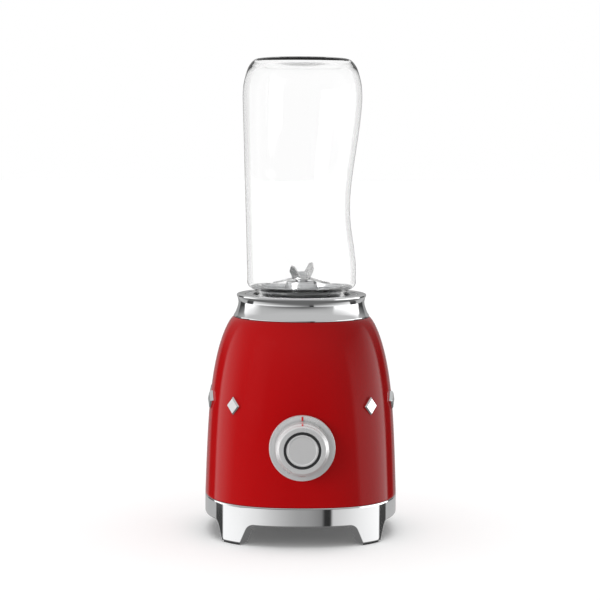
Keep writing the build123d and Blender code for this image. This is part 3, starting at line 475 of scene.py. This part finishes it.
def arch_boundary():
    """Lower edge of the base ring in one quadrant, as (distance along the wall, level) points, and
    the table that turns a distance back into an angle."""
    samples = 2000
    table, length, last = [], 0.0, None
    for i in range(samples + 1):
        angle = -math.pi / 2 + math.pi / 2 * i / samples
        r = plan_radius(angle, BODY_HALF, PLAN_POWER)
        point = Vector((r * math.cos(angle), r * math.sin(angle)))
        length += (point - last).length if last else 0.0
        last = point
        table.append((length, angle, point))

    def along(x=None, y=None):
        """Distance along the wall at which |x| or |y| reaches a value."""
        for w, _, p in table:
            if (x is not None and p.x >= x) or (y is not None and -p.y <= y):
                return w
        return length

    corners = [(0.0, ARCH_TOP, 0), (along(x=FRONT_ARCH[1]), ARCH_TOP, 6.0 * MM),
               (along(x=FRONT_ARCH[0] - 0.3 * MM), PAD_TOP, 1.0 * MM),
               (along(y=SIDE_ARCH[0] - 0.3 * MM), PAD_TOP, 1.0 * MM),
               (along(y=SIDE_ARCH[1]), ARCH_TOP, 6.0 * MM), (length, ARCH_TOP, 0)]
    points = []
    for i, (w, z, radius) in enumerate(corners):
        if radius:
            before, after = corners[i - 1][:2], corners[i + 1][:2]
            points += [tuple(p) for p in arc_corner(before, (w, z), after, radius, 14)]
        else:
            points.append((w, z))
    dense = []
    for a, b in zip(points, points[1:]):
        count = max(1, int(math.dist(a, b) / (0.8 * MM)))
        dense += [(a[0] + (b[0] - a[0]) * k / count, a[1] + (b[1] - a[1]) * k / count) for k in range(count)]
    return dense + [points[-1]], table


def angle_at(table, w):
    """Plan angle at a distance along the wall."""
    low, high = 0, len(table) - 1
    w = max(0.0, min(table[-1][0], w))
    while high - low > 1:
        middle = (low + high) // 2
        low, high = (middle, high) if table[middle][0] <= w else (low, middle)
    share = (w - table[low][0]) / (table[high][0] - table[low][0])
    return table[low][1] + share * (table[high][1] - table[low][1])


# A quarter round of radius 1, as (distance in from one face, distance from the other).
QUARTER_ROUND = ((1.0, 0.0), (0.62, 0.08), (0.29, 0.29), (0.08, 0.62), (0.0, 1.0))


def base_ring():
    """Polished ring with its four feet. Columns follow the edge of the arches."""
    edge, table = arch_boundary()
    bevel, lip = 1.1 * MM, 0.7 * MM
    columns = []
    for i, (w, z) in enumerate(edge):
        a, b = edge[max(i - 1, 0)], edge[min(i + 1, len(edge) - 1)]
        tangent = Vector((b[0] - a[0], b[1] - a[1])).normalized()
        normal = Vector((-tangent.y, tangent.x))
        columns.append((w, z, normal))

    def column(w, z, normal):
        """(angle, inset, level) stations from the inner edge, round the outside and back."""
        rows = [(angle_at(table, w), FOOT_WALL, z)]
        for inset, move in QUARTER_ROUND:
            at, level = w + normal.x * bevel * move, z + normal.y * bevel * move
            rows.append((angle_at(table, at), inset * bevel, level))
        top, start = SKIRT_TOP, rows[-1][2]
        upright = angle_at(table, w + normal.x * bevel)
        rows += [(upright, 0.0, start + (top - lip - start) * share) for share in (0.04, 0.5, 0.96)]
        rows += [(upright, inset * lip, top - drop * lip) for inset, drop in QUARTER_ROUND[::-1]]
        rows += [(upright, 3.5 * MM, top), (upright, 3.5 * MM, ARCH_TOP + 5.1 * MM)]
        rows.append((upright, FOOT_WALL, ARCH_TOP + 3.0 * MM))
        return rows

    quadrant = [column(*c) for c in columns]
    whole = []
    for turn in range(2):
        shift = math.pi * turn
        whole += [[(a + shift, inset, z) for a, inset, z in col] for col in quadrant[:-1]]
        whole += [[(-a + shift, inset, z) for a, inset, z in col] for col in quadrant[:0:-1]]
    rings = [[(plan_radius(a, BODY_HALF - inset, PLAN_POWER) * math.cos(a),
               plan_radius(a, BODY_HALF - inset, PLAN_POWER) * math.sin(a), z) for a, inset, z in col]
             for col in whole]
    verts, faces = grid(rings, True)
    faces = [f[::-1] for f in faces]
    return add_piece("footed_ring", verts, faces, "chrome", "housing", "base_ring", sharp=40)


# ---- dial ----
def dial_pieces():
    """Bezel, knob, light ring and button, turned about the dial's axis."""
    place = dial_place()
    r, k, b, g = BEZEL_R / MM, KNOB_R / MM, BUTTON_R / MM, LIGHT_R / MM
    top = (DIAL_FACE - knob_low.y) / MM
    sink = (bezel_high.y - bezel_low.y) / MM
    bezel = outline([(5.4, -0.7), (k, -0.7, 0.5), (r - 1.0, -0.15, 0.4), (r - 0.7, 0, 0.1), (r, 0, 0.7),
                     (r, -sink + 2.5), (r - 1.6, -sink + 2.5), (r - 1.6, -sink), (5.4, -sink)])
    add_piece("bezel", *lathe(bezel, 192, True, place), "satin_chrome", "housing", "dial_bezel", sharp=40)
    knob = outline([(3.0, -9), (5.0, -9, 0.3), (5.0, 0.4), (k - 0.3, 0.4, 0.3), (k - 0.9, top - 3.0, 0.5),
                    (k - 1.9, top - 2.3, 0.4), (k - 2.2, top - 0.9, 0.3), (k - 3.0, top, 0.9), (g, top, 0.35),
                    (g, top - 5.6), (3.0, top - 5.6)])
    add_piece("knob", *lathe(knob, 192, True, place), "satin_chrome", "knob", "dial_knob", sharp=40)
    glow = outline([(b + 0.4, top - 5.6), (g, top - 5.6), (g, top - 0.6, 0.2), (b + 0.4, top - 0.6, 0.2)])
    add_piece("dark_ring", *lathe(glow, 160, True, place), "light_guide", "knob", "light_ring", sharp=40)
    button = outline([(0, top), (b - 1.5, top, 0.6), (b - 0.95, top + 0.3, 0.25), (b, top + 0.3, 0.5),
                      (b, top - 3.0), (1.6, top - 3.0), (1.6, top - 6.6), (0, top - 6.6)])
    cap = lathe(button, 160, True, place)
    add_piece("button_cap", *cap, "satin_chrome", "button", "centre_button", sharp=40)


# ---- bottle ----
SHOULDER_LOW = HOLDER_TOP + 3.6 * MM
SHOULDER_R = BOTTLE_R - 3.5 * MM
SHOULDER_ROUND = 5.0 * MM
SIDE_LOW = SHOULDER_LOW + SHOULDER_ROUND + 4.0 * MM
END_RISE = 25.3 * MM
SIDE_HIGH = BOTTLE_TOP - END_RISE
RIB_ANGLE = math.radians(-123)
RIB_HALF = 2.7 * MM
RIB_SPANS = ((BOTTLE_TOP - 147.3 * MM, BOTTLE_TOP - 100.3 * MM),
             (BOTTLE_TOP - 79.3 * MM, BOTTLE_TOP - 11.3 * MM))
RIB_PROUD = 0.55 * MM


def grip_waist(share):
    reach = GRIP_SHARE if share < GRIP_SHARE else 1 - GRIP_SHARE
    return GRIP_DEPTH * math.cos(math.pi / 2 * (share - GRIP_SHARE) / reach) ** 2


def side_section(level):
    """(centre offset, radius) of the bottle's side at a level."""
    share = max(0.0, min(1.0, (level - SIDE_LOW) / (SIDE_HIGH - SIDE_LOW)))
    waist = grip_waist(share)
    return -waist / 2, SHOULDER_R + (BOTTLE_R - SHOULDER_R) * share - waist / 2


def bottle_profile(inset, end_inset, rise):
    """(centre offset, radius, level) stations from the mouth to the middle of the flat end."""
    low = SHOULDER_LOW + rise
    r, turn = SHOULDER_R - inset, SHOULDER_ROUND - inset * 0.5
    neck = low - 1.6 * MM - BOTTLE_MOUTH
    made = [(0.0, NECK_R - inset, BOTTLE_MOUTH + share * neck) for share in (0.03, 0.5, 1.0)]
    bead = [(0.6, 1.2), (1.1, 1.0), (1.2, 0.2)] if inset == 0 else [(0.3, 0.8), (0.6, 0.3)]
    made += [(0.0, NECK_R - inset + out * MM, low - below * MM) for out, below in bead]
    for i in range(9):
        a = math.pi / 2 * i / 8
        made.append((0.0, r - turn + turn * math.sin(a), low + turn * (1 - math.cos(a))))
    steps = 150
    for i in range(1, steps):
        z = low + turn + (SIDE_HIGH - low - turn) * i / steps
        centre, radius = side_section(z)
        made.append((centre, radius - inset, z))
    end = [(0.0, 0.0), (0.7, 0.32), (2.8, 0.65), (4.8, 0.82), (8.0, 0.96), (11.5, 1.0)]
    scale = END_RISE - end_inset
    for back, share in smooth_points(end, 8):
        made.append((0.0, BOTTLE_R - inset - back * MM, SIDE_HIGH + share * scale))
    for share in (0.9, 0.75, 0.5, 0.25, 0.08):
        dip = 0.0 if inset == 0 else 0.4 * MM * (1 - share)
        made.append((0.0, (BOTTLE_R - inset - 11.5 * MM) * share, BOTTLE_TOP - end_inset - dip))
    return made


def bottle_angles():
    """Angles round the bottle, closer together across the moulded ribs."""
    near, count = math.radians(5.5), 180
    made = [2 * math.pi * i / count - math.pi for i in range(count)]
    made = [a for a in made if abs(a - RIB_ANGLE) > near * 1.08]
    fine = 60
    made += [RIB_ANGLE - near + 2 * near * i / fine for i in range(fine + 1)]
    return sorted(made)


def rib_height(angle, level, radius):
    """How far the moulded ribs stand out at a point of the wall."""
    across = (angle - RIB_ANGLE) * radius
    height = 0.0
    for low, high in RIB_SPANS:
        beyond = max(low + RIB_HALF - level, 0.0, level - (high - RIB_HALF))
        share = math.hypot(across, beyond) / RIB_HALF
        if share < 1:
            edge = min(1.0, (1 - share) / 0.26)
            height = max(height, RIB_PROUD * edge * edge * (3 - 2 * edge))
    return height


def bottle():
    """Clear bottle with an inner and an outer wall, closed at the mouth."""
    angles = bottle_angles()

    def ring(centre, radius, level, ribs):
        made = []
        for a in angles:
            r = radius + (rib_height(a, level, radius) if ribs else 0.0)
            made.append((centre + r * math.cos(a), r * math.sin(a), level))
        return made

    outer = bottle_profile(0.0, 0.0, 0.0)
    inner = bottle_profile(BOTTLE_WALL, BOTTLE_BASE, BOTTLE_WALL * 0.7)
    mouth = BOTTLE_MOUTH
    rings = [ring(0, 1e-5, inner[-1][2], False)] + [ring(*s, False) for s in inner[::-1]]
    rings += [ring(0, radius, mouth, False) for radius in (NECK_R - BOTTLE_WALL + 0.4 * MM, NECK_R - 0.4 * MM)]
    rings += [ring(*s, True) for s in outer] + [ring(0, 1e-5, BOTTLE_TOP, False)]
    verts, faces = grid(rings, False)
    return add_piece("clear_bottle_wall", verts, faces, "clear_bottle", "bottle", "bottle", closed=False)


def bottle_thread():
    """The ridge that winds round the bottle's neck."""
    turns, pitch, start = 1.25, 4.0 * MM, BOTTLE_MOUTH + 2.2 * MM
    section = [(-0.3, -0.8), (1.0, -0.5), (1.4, -0.3), (1.4, 0.3), (1.0, 0.5), (-0.3, 0.8)]
    rows = []
    steps = 150
    for i in range(steps + 1):
        share = i / steps
        angle = 2 * math.pi * turns * share
        fade = min(1.0, share / 0.03, (1 - share) / 0.03)
        rows.append([((NECK_R + (out * fade - 0.05) * MM) * math.cos(angle),
                      (NECK_R + (out * fade - 0.05) * MM) * math.sin(angle),
                      start + pitch * turns * share + up * fade * MM) for out, up in section])
    verts, faces = grid(rows, False)
    return add_piece("bottle_thread", verts, faces, "clear_bottle", "bottle", "bottle", sharp=50)


# ---- blade unit ----
def dish():
    """Pressed floor of the blade unit, with soft corners."""
    cap, low, rim = dish_high.z / MM, dish_low.z / MM + 1.0, HOLDER_TOP / MM + 4.6
    cap_r, rim_r, hole = 10.8, dish_high.x / MM, 4.65
    path = [(hole, cap, 0), (cap_r - 0.6, cap, 1.4), (cap_r + 1.4, low, 2.0), (rim_r - 2.4, low, 2.6),
            (rim_r, rim, 0), (rim_r - 0.8, rim, 0), (rim_r - 3.1, low - 1, 2.2), (cap_r + 0.8, low - 1, 1.4),
            (cap_r - 1.4, cap - 1, 1.0), (hole, cap - 1, 0)]
    made = lathe(outline(path, 8), 160)
    return add_piece("pressed_dish", *made, "dish_steel", "blade_unit", "blade_dish", sharp=45)


# ---- springs copied from the frame ----
def spring(name, node_name, axis, away):
    """Copy of a packed spring in plain steel, put where the frame's spring was, which is hidden."""
    node = frame["nodes"][node_name]
    coil = bpy.data.objects.new(name, node.data.copy())
    coil.matrix_world = node.matrix_world.copy()
    bpy.context.scene.collection.objects.link(coil)
    coil.data.materials.clear()
    coil.data.materials.append(MATERIALS["plain_steel"].mat)
    low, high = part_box(node_name)
    start = (low + high) / 2
    end = start.copy()
    start[axis], end[axis] = (low[axis], high[axis]) if away > 0 else (high[axis], low[axis])
    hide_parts(node_name)
    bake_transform(coil)


spring("plunger_coil", "plunger_spring", 2, 1)
spring("button_coil", "button_spring", 1, -1)
body_shell()
collar()
base_ring()
dial_pieces()
bottle()
bottle_thread()
dish()

# ---- the CAD pieces that stay get their finishes ----
BEVELLED = {"side_studs": 0.25, "lower_blade": 0.12, "upper_blade": 0.12, "blade_nut": 0.2, "foot_pads": 0.2,
            "bottom_cover": 0.3, "bottom_screws": 0.2, "blade_washer": 0.1}
slot_of = {row["node"]: row["material_slot"] for row in frame["record"]["subparts"]}
for name, node in frame["nodes"].items():
    if node.hide_render:
        continue
    node.data.materials.clear()
    node.data.materials.append(MATERIALS[slot_of[name]].mat)
    if name in BEVELLED:
        weld = node.modifiers.new("weld", "WELD")
        weld.merge_threshold = 0.005 * MM
        edge = node.modifiers.new("soft_edges", "BEVEL")
        edge.width, edge.segments = BEVELLED[name] * MM, 2
        edge.limit_method, edge.angle_limit = "ANGLE", math.radians(35)
        edge.harden_normals = True

# ---- room: pale floor, soft lights and camera ----
CAMERA_DISTANCE, CAMERA_HEIGHT, CAMERA_AZIMUTH = 1.213, 0.2662, math.radians(-0.9)
AIM = Vector((-0.001, 0.0, 0.1595))
LENS, ROLL = 105.6, 0.005


def camera():
    data = bpy.data.cameras.new("camera")
    data.lens, data.sensor_width = LENS, 36.0
    data.clip_start, data.clip_end = 0.05, 20.0
    made = bpy.data.objects.new("camera", data)
    bpy.context.scene.collection.objects.link(made)
    place = Vector((CAMERA_DISTANCE * math.sin(CAMERA_AZIMUTH), -CAMERA_DISTANCE * math.cos(CAMERA_AZIMUTH),
                    CAMERA_HEIGHT))
    made.location = place
    made.rotation_mode = "QUATERNION"
    roll = Matrix.Rotation(ROLL, 3, "Z").to_quaternion()
    made.rotation_quaternion = (AIM - place).to_track_quat("-Z", "Y") @ roll
    bpy.context.scene.camera = made


def floor():
    size = 12.0
    corners = [(-size, -size, 0), (size, -size, 0), (size, size, 0), (-size, size, 0)]
    mesh = bpy.data.meshes.new("floor")
    mesh.from_pydata(corners, [], [(0, 1, 2, 3)])
    f = Finish("pale_floor", (0.93, 0.93, 0.93), roughness=0.7, Specular_IOR_Level=0.1)
    f.tint(f.noise(3, 2), (0.925, 0.925, 0.925), (0.935, 0.935, 0.935))
    f.set("Emission Color", (1, 1, 1, 1))
    f.set("Emission Strength", 0.08)
    mesh.materials.append(f.mat)
    made = bpy.data.objects.new("floor", mesh)
    bpy.context.scene.collection.objects.link(made)
    made.visible_glossy = False


def area_light(name, place, target, size, power):
    data = bpy.data.lights.new(name, "AREA")
    data.shape, data.size, data.size_y, data.energy = "RECTANGLE", size[0], size[1], power
    made = bpy.data.objects.new(name, data)
    bpy.context.scene.collection.objects.link(made)
    made.location = place
    made.rotation_mode = "QUATERNION"
    made.rotation_quaternion = (Vector(target) - Vector(place)).to_track_quat("-Z", "Y")
    made.visible_glossy = False
    return made


# Brightness round the room, as (azimuth in degrees from the front, right positive, brightness).
WALL = [(-180, 0.35), (-150, 0.35), (-147, 0.05), (-127, 0.05), (-123, 1.75), (-100, 1.4), (-80, 0.5),
        (-45, 0.26), (0, 0.16), (12, 0.18), (45, 0.34), (58, 0.5), (64, 1.7), (123, 2.6), (127, 0.05),
        (147, 0.05), (150, 0.35), (180, 0.35)]
TABLE = [(-180, 0.5), (-121.5, 0.5), (-119.5, 0.06), (-102.5, 0.06), (-101, 1.15), (-63, 1.05), (-36, 0.85),
         (-8, 0.50), (0, 0.38), (13.5, 0.22), (14.5, 0.03), (21, 0.03), (23.5, 0.66), (60, 0.95), (101, 1.15),
         (102.5, 0.06), (119.5, 0.06), (121.5, 0.5), (180, 0.5)]
FLOOR_SHADE, CEILING = 0.16, 0.6            # brightness that reflections see far below and above
AMBIENT = 0.6                               # brightness that lights matt surfaces


class Room:
    """World nodes: what a diffuse and a reflected ray sees."""

    def __init__(self):
        world = bpy.data.worlds.new("studio")
        bpy.context.scene.world = world
        world.use_nodes = True
        self.tree = world.node_tree
        self.plain = self.tree.nodes["Background"]
        self.plain.inputs["Color"].default_value = (1, 1, 1, 1)
        coords = self.tree.nodes.new("ShaderNodeTexCoord")
        split = self.tree.nodes.new("ShaderNodeSeparateXYZ")
        self.join(coords.outputs["Generated"], split.inputs["Vector"])
        x, y, z = split.outputs
        azimuth = self.maths("ARCTAN2", x, self.maths("MULTIPLY", y, -1))
        self.turn = self.maths("ADD", self.maths("DIVIDE", azimuth, 2 * math.pi), 0.5)
        self.height = self.maths("ADD", self.maths("MULTIPLY", z, 0.5), 0.5)
        around = self.mixed(self.level(-0.192, -0.182), self.pattern(TABLE), self.pattern(WALL))
        around = self.mixed(self.level(-0.5, -0.3), (FLOOR_SHADE,) * 3 + (1,), around)
        mirrored = self.background(self.mixed(self.level(0.05, 0.5), around, (CEILING,) * 3 + (1,)))
        path = self.tree.nodes.new("ShaderNodeLightPath")
        soft = self.background((AMBIENT,) * 3 + (1,))
        seen = self.choose(path.outputs["Is Diffuse Ray"], self.plain, soft)
        seen = self.choose(path.outputs["Is Glossy Ray"], seen, mirrored)
        seen = self.choose(path.outputs["Is Transmission Ray"], seen, self.plain)
        self.join(seen.outputs["Shader"], self.tree.nodes["World Output"].inputs["Surface"])

    def join(self, a, b):
        self.tree.links.new(a, b)

    def feed(self, socket, value):
        if isinstance(value, (int, float, tuple)):
            socket.default_value = value
        else:
            self.join(value, socket)

    def maths(self, kind, a, b):
        made = self.tree.nodes.new("ShaderNodeMath")
        made.operation = kind
        self.feed(made.inputs[0], a)
        self.feed(made.inputs[1], b)
        return made.outputs["Value"]

    def ramp(self, fac, stops):
        made = self.tree.nodes.new("ShaderNodeValToRGB")
        self.join(fac, made.inputs["Fac"])
        fill_ramp(made, stops)
        return made.outputs["Color"]

    def pattern(self, stops):
        return self.ramp(self.turn, [(0.5 + degrees / 360, value) for degrees, value in stops])

    def level(self, low, high):
        """0 below one height of the viewed direction and 1 above another."""
        return self.ramp(self.height, [(low / 2 + 0.5, 0), (high / 2 + 0.5, 1)])

    def mixed(self, fac, a, b):
        made = self.tree.nodes.new("ShaderNodeMix")
        made.data_type = "RGBA"
        self.feed(made.inputs["Factor"], fac)
        colours = [socket for socket in made.inputs if socket.type == "RGBA"]
        self.feed(colours[0], a)
        self.feed(colours[1], b)
        return [socket for socket in made.outputs if socket.type == "RGBA"][0]

    def background(self, colour):
        made = self.tree.nodes.new("ShaderNodeBackground")
        self.feed(made.inputs["Color"], colour)
        return made

    def choose(self, fac, a, b):
        made = self.tree.nodes.new("ShaderNodeMixShader")
        self.join(fac, made.inputs[0])
        self.join(a.outputs[0], made.inputs[1])
        self.join(b.outputs[0], made.inputs[2])
        return made


bpy.context.scene.view_settings.view_transform = "Standard"
camera()
floor()
Room()


def only_on(light, name, things):
    """Let a light fall on some objects only."""
    chosen = bpy.data.collections.new(name)
    for thing in things:
        chosen.objects.link(thing)
    light.light_linking.receiver_collection = chosen


meshes = [thing for thing in bpy.data.objects if thing.type == "MESH"]
key = area_light("key_left", (-1.35, -0.95, 0.65), (0, 0, 0.1), (0.9, 1.2), 27)
only_on(key, "lit_by_key", [thing for thing in meshes if thing.name != "floor"])
sky = bpy.data.lights.new("overhead", "SUN")
sky.energy, sky.angle = 1.4, math.radians(50)
overhead = bpy.data.objects.new("overhead", sky)
overhead.location = (0, 0, 2)
overhead.visible_glossy = False
bpy.context.scene.collection.objects.link(overhead)
only_on(overhead, "lit_by_sky", [thing for thing in meshes if thing.name == "floor"])
